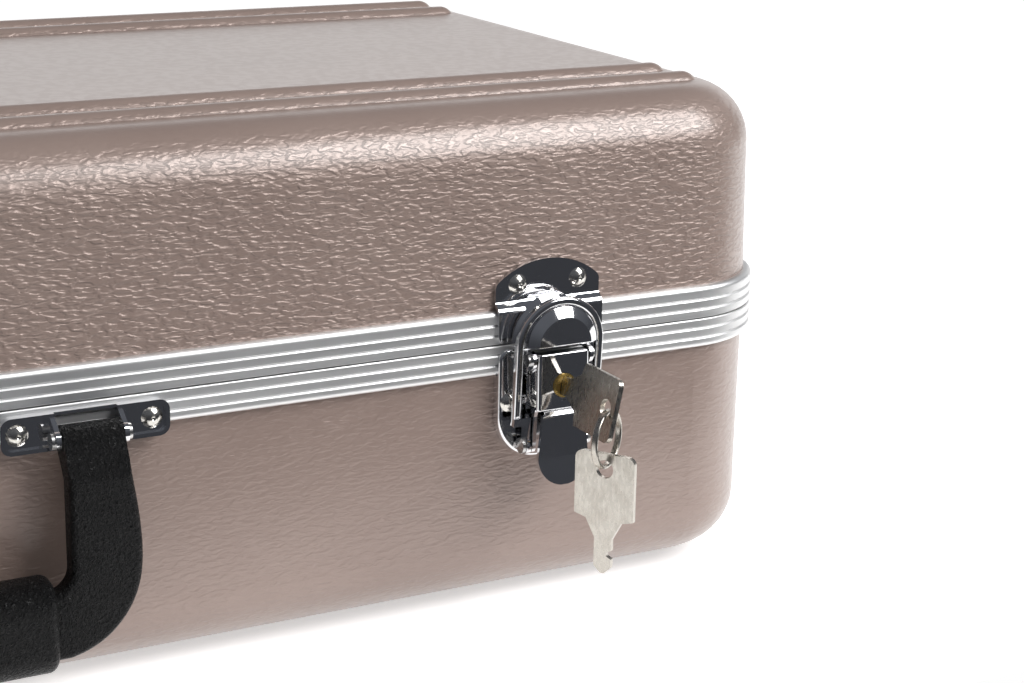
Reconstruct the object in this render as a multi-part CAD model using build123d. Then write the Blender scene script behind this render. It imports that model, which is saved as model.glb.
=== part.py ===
"""Moulded trumpet case with a ribbed edging, two draw latches with key locks and a swing handle.

Frame, in millimetres: the origin is the middle of the footprint, on the surface that the case lies
on. X runs along the case, to the right as seen from the front. The latches and the handle face -Y,
the hinges are on +Y, and +Z is up. Most fittings are drawn about the parting line on the front face
of the edging: x from the fitting's middle, u outward from that face, z up from the parting line.
"""
import os
from math import atan2, cos, degrees, radians, sin, tan

from build123d import *

os.makedirs("parts", exist_ok=True)

# ---- case -----------------------------------------------------------------------------------
CASE_LENGTH = 570.0          # over the edging
CASE_DEPTH = 248.0           # over the edging
CASE_CORNER_R = 34.0         # plan corner of the edging
BASE_HEIGHT = 83.8           # parting line above the surface the case lies on
LID_HEIGHT = 70.8            # top of the lid above the parting line
WALL = 3.0                   # moulded shell
LID_DRAFT = 1.0              # degrees
BASE_DRAFT = 0.4             # degrees
EDGE_R = 18.0                # round between wall and top
BEAD_INSET = 31.0            # from the edging's face to the middle of the lid's outer bead
BEAD_PITCH = 18.3            # from the outer bead to the inner one
BEAD_R = 5.3
BEAD_RISE = 2.3              # height of the half-round beads
BEAD_END = 19.0              # from the case's end to the end of each bead
PANEL_INSET = 24.75          # from the edging's face to the base's raised panel
PANEL_RISE = 3.0
PANEL_DRAFT = 14.0           # degrees
PANEL_ROUND = 2.4            # round on its top edge
HOLLOW_ROUND = 1.2           # round inside it
PANEL_CORNER_R = 14.0        # its plan corner
LID_FLAT = LID_HEIGHT - BEAD_RISE
BASE_FLAT = BASE_HEIGHT - PANEL_RISE

# ---- edging ---------------------------------------------------------------------------------
EDGING_PROUD = 2.5           # edging's face outside the shell's face
LID_EDGING = 10.0            # height of the lid's edging
BASE_EDGING = 9.2            # height of the base's edging
PARTING_GAP = 0.4            # between the two edgings
EDGING_SEAT = 4.4            # height of the flange that the shell's rim sits on
EDGING_LIP = 1.3             # thickness of the leg inside the shell
EDGING_LIP_HEIGHT = 8.6
EDGING_ROUND = 1.6           # round on the outer edge towards the shell
RIB_PITCH = 3.0              # from one flute of the edging to the next
FLUTE_HALF = 0.5             # half the width of a V-shaped flute
FLUTE_DEPTH = 0.5
PARTING_BEVEL = 0.3
TONGUE_WIDTH = 1.2
TONGUE_HEIGHT = 2.0          # above the parting line
TONGUE_INSET = 3.3           # from the edging's face
TONGUE_PLAY = 0.4            # on each side in the groove
COLLAR = 10.0                # straight part of the shell behind the edging
JOINER_LENGTH = 26.0
JOINER_THICK = 0.8
JOINER_MARGIN = 1.2          # edging left bare above and below the joiner

# ---- lining ---------------------------------------------------------------------------------
LINING_GAP = 1.6             # between the shell's side walls and the padded pieces
INSERT_DROP = 10.0           # insert's top below the parting line, under the rivets' tails
PAD_THICK = 14.0             # lid pad
LINING_SPLIT = 98.0          # joint between the two blocks of the lining, from the case's front
SPLIT_GAP = 0.4
BELL_FROM_BACK = 78.5        # bell's axis from the case's back
BELL_STATIONS = ((23.0, 66.0), (49.0, 64.0), (71.0, 43.0), (99.0, 29.0), (139.0, 23.0))  # from the end
TRAY_X = -62.0
TRAY_FROM_FRONT = 52.5       # middle of the tray and of the mouthpiece holes, from the front
TRAY_SIZE = (370.0, 70.0, 58.0)
VALVES_X = 20.0
VALVES_LENGTH = 112.0
VALVES_DEEP = 54.0
VALVES_WALL = 9.8            # foam between the joint of the lining and the valves
TUBES_X = 46.0
TUBES_FROM_BACK = 82.0       # middle of the hollow, whose back wall the valves share
TUBES_SIZE = (384.0, 60.0, 40.0)
MOUTHPIECE_PITCH = 45.0
MOUTHPIECE_COUNT = 3
MOUTHPIECE_FROM_END = 35.0   # last hole's middle from the case's end
MOUTHPIECE_R = 13.5
MOUTHPIECE_DEPTH = 60.0

# ---- latch ----------------------------------------------------------------------------------
LATCH_FROM_END = 87.0        # middle of each latch from the edging's end
SHEET = 1.2                  # pressed steel plates
PLATE_CLEAR = 0.1            # between a plate and the wall behind it
STRIKE_HALF_WIDTH = 17.2
STRIKE_FOOT = 0.5            # plate's lower edge above the parting line
STRIKE_SHOULDER = 17.5
STRIKE_TOP = 24.2
STRIKE_CORNER_R = 2.5
STRIKE_BEND = 1.5            # bends of the strike plate, in the middle of the sheet
STRIKE_STEP = 2.0            # height over which it steps out over the edging
BOSS_R = 11.4                # boss that the loop hooks over
BOSS_FACE_R = 8.6
BOSS_Z = 0.3                 # middle of the boss's round
BOSS_SHOULDER = 8.0          # where the boss starts to taper
BOSS_FACE = 10.0             # how far the boss stands out
BOSS_EDGE = 0.4              # round on its face's edge
BOSS_FLARE = (13.6, 2.4)     # radius and height of the drawn foot round the boss
STRIKE_RIVET = (10.0, 17.3)  # x and z
PLATE_HALF_WIDTH = 16.9
PLATE_TOP = -1.4
PLATE_BOTTOM = -35.0
PLATE_TOP_R = 3.5
PLATE_BOTTOM_R = 13.0
PLATE_EDGE = 0.9             # round on the plate's front edge
FLANGE_THICK = 1.0
PLATE_RIVET = (13.4, -17.2)
EAR_THICK = 1.1
EAR_R = 2.8
EAR_ROOT = 6.7               # ear's foot below the pivot
EAR_SLANT = 35.0             # degrees, where the ear's lower side meets its round end
LEVER_PIVOT = (6.4, -3.6)    # u and z
LOOP_PIVOT = (4.2, -30.0)    # u and z
LEVER_HALF_WIDTH = 8.5
LEVER_WALL = 1.1
LEVER_ROOF = 0.8             # wall at the box's top
LEVER_TOP = -1.6
LEVER_BOTTOM = -18.7
LEVER_BACK = 2.4
LEVER_FACE = 9.6
LEVER_ROUND = 1.3            # round on its upright edges
LEVER_EDGE = 0.5             # round on its top and bottom edges
ARM_R = 2.5
ARM_NECK = (7.2, -20.7)      # u and z where an arm narrows below the box
SIDE_PLAY = 0.3              # between parts that swing side by side
PIN_PLAY = 0.08              # radial, pin in a swinging part
LEVER_PIN_R = 0.9
LOOP_PIN_R = 1.2
PIN_HEAD = 1.0
LEVER_PIN_HEAD_R = 1.8
LOOP_PIN_HEAD_R = 2.3
TAB_THICK = 1.1
TAB_BEND = 0.9               # bends of the tab, in the middle of the sheet
TAB_PROUD = 0.5              # tab's face outside the lever's face
TAB_TOP = -20.5
TAB_HALF_WIDTH = 7.0
TAB_END_R = 8.35
TAB_END_Z = -33.0
TAB_FLARE = 1.3              # tab's tip stands further out than its top by this
TAB_FLANGE_HALF = 6.2
TAB_FLANGE_TOP = -16.8
LOOP_OUTER_R = 14.4
LOOP_WIDTH = 2.4             # loop's bar, across
LOOP_DEPTH = 2.8             # loop's bar, outward
LOOP_ROUND = 0.9
LOOP_RISE = 43.4             # from the loop's pivot to the top of its bar's middle
LOOP_LEAN = 3.7              # degrees, outward from the pivot
LOOP_LEG_FOOT = 9.0          # where the legs step in, above the pivot
EYE_THICK = 1.5
EYE_R = 2.6
PLUG_Z = -11.4
PLUG_R = 3.6
PLUG_FACE = 9.9
PLUG_BACK = 2.1
PLUG_PLAY = 0.08             # radial
PLUG_TURN = 12.0             # degrees, as the photographed key stands
PLUG_DISH = 0.7
BARREL_R = 4.7
BARREL_BACK = 3.9
SLOT_WIDTH = 1.8
SLOT_HEIGHT = 5.8
SLOT_END = 2.5
CAM_REACH = 5.6
CAM_WIDTH = 3.4
CAM_THICK = 0.6
KEEPER_INNER = 3.8
KEEPER_OUTER = 7.0
KEEPER_THICK = 0.7
KEEPER_TOP = 3.6
KEEPER_HALF_HEIGHT = 3.0
INDEX_NOTCH = (1.8, 1.2)

# ---- keys -----------------------------------------------------------------------------------
KEY_THICK = 1.5
BLADE_LENGTH = 17.0
BLADE_HALF = 2.7
BLADE_POINT = 0.6            # half width of the tip
BLADE_CHAMFER = 2.0
CUTS = ((4.6, 2.7), (5.4, 1.2), (6.4, 1.2), (7.2, 2.7))    # notch: from the tip, and half width left
SHOULDER_LENGTH = 6.5
SHOULDER_HALF = 5.6
SHOULDER_STEP = 1.0
BOW_LENGTH = 19.0
BOW_HALF = 9.3
BOW_CORNER_R = 2.4
KEY_HOLE_R = 2.7
KEY_HOLE_MARGIN = 4.6        # hole's middle from the bow's end
KEY_TIP_U = 2.8              # tip of the inserted key
RING_R = 8.0                 # middle of the ring's wire
RING_WIRE = 1.1              # radial
RING_STACK = 2.0             # two turns of wire side by side
RING_ROUND = 0.5             # round on the wire's corners
RING_TURN = 34.0             # degrees, ring's plane from the case's front
RING_HANG = 0.9              # wire's middle below the hole's middle
SPARE_TURN = 57.0            # degrees, spare key's plane from the case's front

# ---- handle ---------------------------------------------------------------------------------
BRACKET_X = 58.0
BRACKET_HALF_WIDTH = 22.9
BRACKET_TOP = -1.6
BRACKET_BOTTOM = -11.7
BRACKET_CORNER_R = 3.0
BRACKET_RIM = 1.1            # width and height of the raised rim
BRACKET_RIVET = (18.2, -6.6)
HANDLE_PIVOT = (5.4, -8.0)   # u and z
HANDLE_PIN_R = 1.6
HANDLE_EAR_THICK = 1.3
HANDLE_EAR_R = 2.9
HANDLE_EAR_SLANT = 40.0      # degrees, where the ear's straight sides meet its round end
LEG_HALF_WIDTH = 8.2
LEG_EYE_R = 4.0
LEG_EDGE = 1.8               # round along the front edges of the legs
LEG_PROFILE = ((-2.0, -4.5), (2.0, -10.0), (7.6, -10.0), (5.4, -3.0), (2.8, 2.8))  # from the pivot
LEG_INNER_FOOT = -48.0
LEG_INNER_R = 6.0
LEG_OUTLINE = ((8.2, -11.0), (10.2, -26.0), (11.2, -39.0), (10.3, -48.0), (6.8, -56.0), (0.0, -62.8),
               (-9.2, -66.4))
LEG_TANGENTS = ((0.08, -1.0), (-1.0, -0.16))
GRIP_HALF_LENGTH = 44.5
GRIP_TOP = -43.0
GRIP_BOTTOM = -69.0
GRIP_THICK = 17.0
GRIP_ROUND = 7.6
GRIP_END_ROUND = 2.5
BAR_BOTTOM = -67.2

# ---- hinges and feet ------------------------------------------------------------------------
HINGE_FROM_END = 115.0
HINGE_HALF_WIDTH = 22.0
HINGE_AXIS = 2.6             # outside the edging's back face
KNUCKLE_R = 2.2
HINGE_PIN_R = 1.1
MIDDLE_KNUCKLE = 7.2         # half length
KNUCKLE_PLAY = 0.3
LEAF_EDGE = 2.2              # leaf's edge from the parting line
LEAF_TOP = 8.8
LEAF_RIVET_X = 15.0
LEAF_RIVET_Z = 5.9
FOOT_FROM_END = 60.0
FOOT_Z = 38.0                # above and below the parting line
FOOT_R = 11.0
FOOT_TOP_R = 8.0
FOOT_HEIGHT = 8.0            # above the shell
FOOT_SIDE = 2.75             # height of its straight side above the edging's face
FOOT_ROUND = 1.4

# ---- rivets: head radius, head height, shank radius -------------------------------------------
LARGE_RIVET = (3.0, 1.5, 1.5)
SMALL_RIVET = (1.9, 0.8, 1.1)
DIMPLE = (0.9, 0.5)          # radius of the ball that dimples a large head, and how far out it stands
TAIL_EXTRA = 0.7             # tail's radius beyond the shank
TAIL_THICK = 1.0
TAIL_CLEAR = 0.2             # tail's seat inside the innermost wall

LATCH_X = CASE_LENGTH / 2 - LATCH_FROM_END
HINGE_X = CASE_LENGTH / 2 - HINGE_FROM_END
FOOT_X = CASE_LENGTH / 2 - FOOT_FROM_END
FRONT = -CASE_DEPTH / 2
BACK = CASE_DEPTH / 2
HALF_GAP = PARTING_GAP / 2
SHELL_INNER = EDGING_PROUD + WALL
EDGING_INNER = SHELL_INNER + EDGING_LIP


# ---- drawing helpers --------------------------------------------------------------------------
def at_front(x):
    """Place a fitting drawn about the parting line on the front face."""
    return Pos(x, FRONT, BASE_HEIGHT)


def at_back(x):
    """Place a fitting drawn about the parting line on the back face."""
    return Pos(x, BACK, BASE_HEIGHT) * Rot(0, 0, 180)


def front_plate(outline, u_from, u_to):
    """Solid between two distances outward, from an outline in x and z."""
    return extrude(Plane.XZ.offset(u_from) * outline, u_to - u_from)


def side_plate(outline, x_from, x_to):
    """Solid between two x, from an outline in -u and z."""
    return extrude(Plane.YZ.offset(x_from) * outline, x_to - x_from)


def polygon(points):
    return make_face(Polyline(*points, close=True))


def uz_polygon(points):
    """Outline for side_plate from points in u and z."""
    return polygon([(-u, z) for u, z in points])


def uz_circle(centre, radius):
    return Pos(-centre[0], centre[1]) * Circle(radius)


def bent_sheet(points, thick, bend, half_width):
    """Sheet folded along a line of points in u and z through the middle of its thickness."""
    line = FilletPolyline(*[(-u, z) for u, z in points], radius=bend)
    return side_plate(trace(line, line_width=thick), -half_width, half_width)


def both_sides(outline, x_from, x_to):
    """The same side plate at +x and at -x."""
    return side_plate(outline, x_from, x_to) + side_plate(outline, -x_to, -x_from)


def cross_bar(centre, radius, x_from, x_to):
    """Round bar along x through a point in u and z."""
    return side_plate(uz_circle(centre, radius), x_from, x_to)


def outward_bar(z, radius, u_from, u_to):
    """Round bar along the outward axis."""
    return front_plate(Pos(0, z) * Circle(radius), u_from, u_to)


def block(x_from, x_to, u_from, u_to, z_from, z_to):
    outline = Pos((x_from + x_to) / 2, (z_from + z_to) / 2) * Rectangle(x_to - x_from, z_to - z_from)
    return front_plate(outline, u_from, u_to)


def turned(points):
    """Solid turned about the outward axis, from points in radius and u."""
    return revolve(polygon([(r, -u) for r, u in points]), Axis.Y)


def rivet(kind, grip):
    """Rivet at the origin: domed head outward, its seat at u = 0, its tail past the grip."""
    head_r, head_h, shank_r = kind
    sphere_r = (head_r**2 + head_h**2) / (2 * head_h)
    half = radians(45) * head_r / sphere_r
    middle = (sphere_r * sin(half), sphere_r - head_h - sphere_r * cos(half))
    tail_r = shank_r + TAIL_EXTRA
    dome = ThreePointArc((0, -head_h), middle, (head_r, 0))
    stem = Polyline((head_r, 0), (shank_r, 0), (shank_r, grip), (tail_r, grip),
                    (tail_r, grip + TAIL_THICK), (0, grip + TAIL_THICK), (0, -head_h))
    return revolve(make_face([dome, stem]), Axis.Y)


def dimpled(piece, head_h):
    """Rivet at the origin with the mark of the setting tool in the middle of its head."""
    ball_r, proud = DIMPLE
    return piece - Pos(0, -head_h - proud, 0) * Sphere(ball_r)


def group(solids):
    """Like pieces in one node."""
    return Compound(children=[solid for piece in solids for solid in piece.solids()])


def cut(piece, tools):
    """Take the shape of fasteners out of what they pass through."""
    for tool in tools:
        piece = piece - tool
    return piece


# ---- case halves ------------------------------------------------------------------------------
def plan(inset, radius=None):
    """Plan outline at an inset from the edging's face."""
    corner = CASE_CORNER_R - inset if radius is None else radius
    return RectangleRounded(CASE_LENGTH - 2 * inset, CASE_DEPTH - 2 * inset, corner)


def moulded_form(flat_top, draft, side_inset, top_inset):
    """One case half as a solid, open side down at z = 0, without what is raised on its top."""
    top = flat_top - top_inset
    inset = EDGING_PROUD + side_inset
    body = extrude(plan(inset), COLLAR)
    body += extrude(Plane.XY.offset(COLLAR) * plan(inset), top - COLLAR, taper=draft)
    return fillet(body.faces().sort_by(Axis.Z)[-1].edges(), EDGE_R - top_inset)


def beads(inset):
    """Two half-round beads along the front of the lid's top and two along its back."""
    radius = BEAD_R - inset
    reach = CASE_LENGTH / 2 - BEAD_END - BEAD_R
    bead = Rot(0, 90, 0) * Cylinder(radius, 2 * reach)
    bead += Pos(-reach, 0) * Sphere(radius)
    bead += Pos(reach, 0) * Sphere(radius)
    places = [FRONT + BEAD_INSET, FRONT + BEAD_INSET + BEAD_PITCH]
    places += [-y for y in places]
    return [Pos(0, y, LID_HEIGHT - BEAD_R) * bead for y in places]


def panel(inset, edge_round):
    """Raised panel that the base stands on, with drawn sides and a rounded edge."""
    outline = plan(PANEL_INSET + inset, PANEL_CORNER_R - inset)
    form = extrude(Plane.XY.offset(BASE_FLAT - inset) * outline, PANEL_RISE, taper=PANEL_DRAFT)
    return [fillet(form.faces().sort_by(Axis.Z)[-1].edges(), edge_round)]


def shell(flat_top, draft, raised, hollows):
    """One moulded half, from its seat in the edging upward, hollow under what is raised."""
    outer = moulded_form(flat_top, draft, 0, 0)
    inner = moulded_form(flat_top, draft, WALL, WALL)
    for form in raised:
        outer += form
    for form in hollows:
        inner += form
    below_seat = Pos(0, 0, EDGING_SEAT / 2) * Box(CASE_LENGTH, CASE_DEPTH, EDGING_SEAT)
    return outer - inner - below_seat


def ring(outer_inset, inner_inset, z_from, z_to):
    """Closed frame round the case between two insets and two heights."""
    outer = extrude(Plane.XY.offset(z_from) * plan(outer_inset), z_to - z_from)
    return outer - extrude(Plane.XY.offset(z_from) * plan(inner_inset), z_to - z_from)


def bevelled(z_low, z_high, inset_low, inset_high):
    """Solid over the whole plan whose outer face slopes from one inset to another."""
    angle = degrees(atan2(inset_high - inset_low, z_high - z_low))
    return extrude(Plane.XY.offset(z_low) * plan(inset_low), z_high - z_low, taper=angle)


def flute(z):
    """Cutter for a V-shaped groove round the edging."""
    slab = extrude(Plane.XY.offset(z - FLUTE_HALF) * plan(-FLUTE_DEPTH), 2 * FLUTE_HALF)
    slab -= bevelled(z - FLUTE_HALF, z, 0, FLUTE_DEPTH)
    return slab - bevelled(z, z + FLUTE_HALF, FLUTE_DEPTH, 0)


def edging(height):
    """Ribbed edging of one half, growing up from the parting line."""
    body = bevelled(HALF_GAP, HALF_GAP + PARTING_BEVEL, PARTING_BEVEL, 0)
    body += extrude(Plane.XY.offset(HALF_GAP + PARTING_BEVEL) * plan(0), height - HALF_GAP - PARTING_BEVEL)
    body = fillet(body.faces().sort_by(Axis.Z)[-1].edges(), EDGING_ROUND)
    body -= extrude(Plane.XY.offset(EDGING_SEAT) * plan(EDGING_PROUD), height)
    body -= extrude(plan(EDGING_INNER), height)
    body += ring(SHELL_INNER, EDGING_INNER, EDGING_SEAT, EDGING_LIP_HEIGHT)
    for number in (1, 2):
        body -= flute(number * RIB_PITCH)
    return body


def lid_up(solid):
    return Pos(0, 0, BASE_HEIGHT) * solid


def base_down(solid):
    return Pos(0, 0, BASE_HEIGHT) * mirror(solid, Plane.XY)


def lid_edging():
    groove_in = TONGUE_INSET - TONGUE_PLAY
    groove_out = TONGUE_INSET + TONGUE_WIDTH + TONGUE_PLAY
    groove = ring(groove_in, groove_out, HALF_GAP, TONGUE_HEIGHT + 2 * TONGUE_PLAY)
    return lid_up(edging(LID_EDGING) - groove)


def base_edging():
    tongue = ring(TONGUE_INSET, TONGUE_INSET + TONGUE_WIDTH, -EDGING_SEAT / 2, TONGUE_HEIGHT)
    return base_down(edging(BASE_EDGING)) + lid_up(tongue)


def joiner(edging_height):
    """Plate over the joint at the back of the edging, above the parting line."""
    top = edging_height - JOINER_MARGIN
    return block(-JOINER_LENGTH / 2, JOINER_LENGTH / 2, 0, JOINER_THICK, JOINER_MARGIN, top)


# ---- lining -----------------------------------------------------------------------------------
def sides(centre, size):
    """Left, right, front and back of a hollow."""
    half_x, half_y = size[0] / 2, size[1] / 2
    return centre[0] - half_x, centre[0] + half_x, centre[1] - half_y, centre[1] + half_y


def lining_form():
    return base_down(moulded_form(BASE_FLAT, BASE_DRAFT, WALL + LINING_GAP, WALL))


def foam(form, x_from, x_to, y_from, y_to, drop=0.0):
    """Foam block between two widths and two depths, with its top lowered by a drop."""
    top = BASE_HEIGHT - INSERT_DROP - drop
    middle = Pos((x_from + x_to) / 2, (y_from + y_to) / 2, top / 2)
    return form & middle * Box(x_to - x_from, y_to - y_from, top)


def bell_hollow():
    """Flared hollow for the bell, its axis at the top of the insert."""
    stations = [(x - CASE_LENGTH / 2, radius) for x, radius in BELL_STATIONS]
    first, last = stations[0][0], stations[-1][0]
    closing = Polyline(stations[-1], (last, 0), (first, 0), stations[0])
    horn = revolve(make_face([Polyline(*stations), closing]), Axis.X)
    return Pos(0, BACK - BELL_FROM_BACK, BASE_HEIGHT - INSERT_DROP) * horn


def bell_blocks(form, front, x_to):
    """Blocks at the left end, glued along the bell's axis and where its flare ends."""
    end = -CASE_LENGTH / 2
    flare_from = end + BELL_STATIONS[0][0]
    flare_to = end + BELL_STATIONS[2][0]
    axis = BACK - BELL_FROM_BACK
    blocks = [foam(form, end, flare_from, front, BACK)]
    for x_low, x_high in ((flare_from, flare_to), (flare_to, x_to)):
        blocks.append(foam(form, x_low, x_high, front, axis) - bell_hollow())
        blocks.append(foam(form, x_low, x_high, axis, BACK) - bell_hollow())
    return blocks


def trumpet_insert():
    """Rear blocks, glued round the hollows for the bell, the valves and the slides."""
    form = lining_form()
    end = CASE_LENGTH / 2
    front = FRONT + LINING_SPLIT + SPLIT_GAP / 2
    left, right, near, far = sides((TUBES_X, BACK - TUBES_FROM_BACK), TUBES_SIZE)
    valves_left = VALVES_X - VALVES_LENGTH / 2
    valves_right = VALVES_X + VALVES_LENGTH / 2
    valves_near = front + VALVES_WALL
    return group(bell_blocks(form, front, left) + [
        foam(form, left, end, far, BACK),
        foam(form, right, end, front, far),
        foam(form, left, valves_left, front, near),
        foam(form, valves_left, valves_right, front, valves_near),
        foam(form, valves_right, right, front, near),
        foam(form, left, valves_left, near, far, TUBES_SIZE[2]),
        foam(form, valves_left, valves_right, valves_near, far, VALVES_DEEP),
        foam(form, valves_right, right, near, far, TUBES_SIZE[2]),
    ])


def mouthpiece_blocks(form, x_from, back):
    """Blocks from the tray to the case's end, glued along the middle of the mouthpiece holes."""
    end = CASE_LENGTH / 2
    axis = FRONT + TRAY_FROM_FRONT
    hole_middle = BASE_HEIGHT - INSERT_DROP - MOUTHPIECE_DEPTH / 2
    blocks = []
    for number in reversed(range(MOUTHPIECE_COUNT)):
        x = end - MOUTHPIECE_FROM_END - number * MOUTHPIECE_PITCH
        x_to = x + MOUTHPIECE_PITCH / 2
        hole = Pos(x, axis, hole_middle) * Cylinder(MOUTHPIECE_R, MOUTHPIECE_DEPTH)
        blocks.append(foam(form, x_from, x_to, FRONT, axis) - hole)
        blocks.append(foam(form, x_from, x_to, axis, back) - hole)
        x_from = x_to
    return blocks + [foam(form, x_from, end, FRONT, back)]


def tray_insert():
    """Front blocks, glued round a tray for accessories, and those for the mouthpieces."""
    form = lining_form()
    back = FRONT + LINING_SPLIT - SPLIT_GAP / 2
    left, right, near, far = sides((TRAY_X, FRONT + TRAY_FROM_FRONT), TRAY_SIZE)
    tray = [
        foam(form, -CASE_LENGTH / 2, left, FRONT, back),
        foam(form, left, right, FRONT, near),
        foam(form, left, right, far, back),
        foam(form, left, right, near, far, TRAY_SIZE[2]),
    ]
    return group(tray + mouthpiece_blocks(form, right, back))


def lid_pad():
    form = moulded_form(LID_FLAT, LID_DRAFT, WALL + LINING_GAP, WALL)
    below = LID_FLAT - WALL - PAD_THICK
    form -= Pos(0, 0, below / 2) * Box(CASE_LENGTH, CASE_DEPTH, below)
    return lid_up(form)


# ---- latch: strike on the lid -------------------------------------------------------------------
def strike_outline():
    width = 2 * STRIKE_HALF_WIDTH
    rise = STRIKE_TOP - STRIKE_SHOULDER
    arc_r = (STRIKE_HALF_WIDTH**2 + rise**2) / (2 * rise)
    foot = Pos(0, (STRIKE_FOOT + STRIKE_TOP) / 2) * Rectangle(width, STRIKE_TOP - STRIKE_FOOT)
    outline = foot & (Pos(0, STRIKE_TOP - arc_r) * Circle(arc_r))
    return fillet(outline.vertices(), STRIKE_CORNER_R)


def boss_section(radius, u):
    """Round with a flat foot, at a distance outward."""
    cut_away = Pos(0, STRIKE_FOOT - radius) * Rectangle(4 * radius, 2 * radius)
    return Plane.XZ.offset(u) * (Pos(0, BOSS_Z) * Circle(radius) - cut_away)


def boss():
    """Round-topped boss, flat underneath, that tapers to its face."""
    flare_r, flare_u = BOSS_FLARE
    body = extrude(boss_section(BOSS_R, -SHEET), BOSS_SHOULDER + SHEET)
    body += loft([boss_section(BOSS_R, BOSS_SHOULDER), boss_section(BOSS_FACE_R, BOSS_FACE)])
    body = fillet(body.faces().sort_by(Axis.Y)[0].edges(), BOSS_EDGE)
    return body + loft([boss_section(flare_r, SHEET / 2), boss_section(BOSS_R, flare_u)])


def strike_plate():
    """Plate that lies on the shell, steps out over the edging and carries the boss."""
    back = PLATE_CLEAR - EDGING_PROUD + SHEET / 2
    front = SHEET / 2
    step_low = LID_EDGING + PLATE_CLEAR
    step_high = step_low + STRIKE_STEP
    points = [(back, STRIKE_TOP), (back, step_high), (front, step_low), (front, STRIKE_FOOT)]
    plate = bent_sheet(points, SHEET, STRIKE_BEND, STRIKE_HALF_WIDTH)
    trimmed = plate & front_plate(strike_outline(), -EDGING_PROUD, SHEET)
    behind = block(-BOSS_R, BOSS_R, -EDGING_PROUD, 0, 0, STRIKE_TOP)
    return trimmed + (boss() - behind)


# ---- latch: plate on the base -------------------------------------------------------------------
def plate_outline():
    height = PLATE_TOP - PLATE_BOTTOM
    outline = Pos(0, (PLATE_TOP + PLATE_BOTTOM) / 2) * Rectangle(2 * PLATE_HALF_WIDTH, height)
    outline = fillet(outline.vertices().group_by(Axis.Y)[0], PLATE_BOTTOM_R)
    return fillet(outline.vertices().group_by(Axis.Y)[-1], PLATE_TOP_R)


def keeper():
    """Hook on the base plate that the lock's cam turns under."""
    low, high = PLUG_Z - KEEPER_HALF_HEIGHT, PLUG_Z + KEEPER_HALF_HEIGHT
    post = block(KEEPER_OUTER - KEEPER_THICK, KEEPER_OUTER, SHEET, KEEPER_TOP, low, high)
    return post + block(KEEPER_INNER, KEEPER_OUTER, KEEPER_TOP - KEEPER_THICK, KEEPER_TOP, low, high)


def latch_plate():
    """Dished plate on the base with the two ears of the lever's pivot."""
    outline = plate_outline()
    plate = front_plate(outline, 0, SHEET)
    plate = fillet(plate.faces().sort_by(Axis.Y)[0].edges(), PLATE_EDGE)
    seat = PLATE_CLEAR - EDGING_PROUD
    rim = front_plate(outline, seat, 0) - front_plate(offset(outline, -FLANGE_THICK), seat, 0)
    rim -= block(-PLATE_HALF_WIDTH, PLATE_HALF_WIDTH, seat, 0, -BASE_EDGING - PLATE_CLEAR, 0)
    u, z = LEVER_PIVOT
    slant = radians(EAR_SLANT)
    ear = uz_circle(LEVER_PIVOT, EAR_R) + uz_polygon([
        (SHEET / 2, z - EAR_ROOT), (SHEET / 2, PLATE_TOP - PLATE_EDGE), (u, z + EAR_R),
        (u + EAR_R * cos(slant), z - EAR_R * sin(slant))])
    ear_inner = LEVER_HALF_WIDTH + SIDE_PLAY
    ears = both_sides(ear, ear_inner, ear_inner + EAR_THICK)
    return plate + rim + ears + keeper()


def lever_pin():
    ear_outer = LEVER_HALF_WIDTH + SIDE_PLAY + EAR_THICK
    pin = cross_bar(LEVER_PIVOT, LEVER_PIN_R, -ear_outer, ear_outer)
    for side in (-1, 1):
        near, far = sorted((side * ear_outer, side * (ear_outer + PIN_HEAD)))
        pin += cross_bar(LEVER_PIVOT, LEVER_PIN_HEAD_R, near, far)
    return pin


# ---- latch: lever -------------------------------------------------------------------------------
def lever():
    """Drawn box with two arms below it that carry the loop."""
    half, inner = LEVER_HALF_WIDTH, LEVER_HALF_WIDTH - LEVER_WALL
    box = block(-half, half, LEVER_BACK, LEVER_FACE, LEVER_BOTTOM, LEVER_TOP)
    face = box.faces().sort_by(Axis.Y)[0]
    box = fillet(face.edges().filter_by(Axis.Z), LEVER_ROUND)
    face = box.faces().sort_by(Axis.Y)[0]
    box = fillet(face.edges().filter_by(Axis.X), LEVER_EDGE)
    box -= block(-inner, inner, LEVER_BACK, LEVER_FACE - LEVER_WALL, LEVER_BOTTOM, LEVER_TOP - LEVER_ROOF)
    u, z = LOOP_PIVOT
    join_z = LEVER_BOTTOM + LEVER_WALL
    arm = uz_circle(LOOP_PIVOT, ARM_R) + uz_polygon([
        (LEVER_BACK, join_z), (LEVER_FACE - LEVER_ROUND, join_z), ARM_NECK, (u + ARM_R, z), (u - ARM_R, z)])
    box += both_sides(arm, inner, half)
    box -= cross_bar(LEVER_PIVOT, LEVER_PIN_R + PIN_PLAY, -half, half)
    box -= cross_bar(LOOP_PIVOT, LOOP_PIN_R, -half, half)
    box -= outward_bar(PLUG_Z, PLUG_R + PLUG_PLAY, LEVER_BACK, LEVER_FACE)
    notch_x, notch_z = INDEX_NOTCH
    notch_top = PLUG_Z - PLUG_R
    return box - block(-notch_x / 2, notch_x / 2, LEVER_BACK, LEVER_FACE, notch_top - notch_z, notch_top)


def lock_barrel():
    """Body of the lock, fixed behind the lever's face."""
    front = LEVER_FACE - LEVER_WALL
    barrel = outward_bar(PLUG_Z, BARREL_R, BARREL_BACK, front)
    return barrel - outward_bar(PLUG_Z, PLUG_R + PLUG_PLAY, BARREL_BACK, front)


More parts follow.
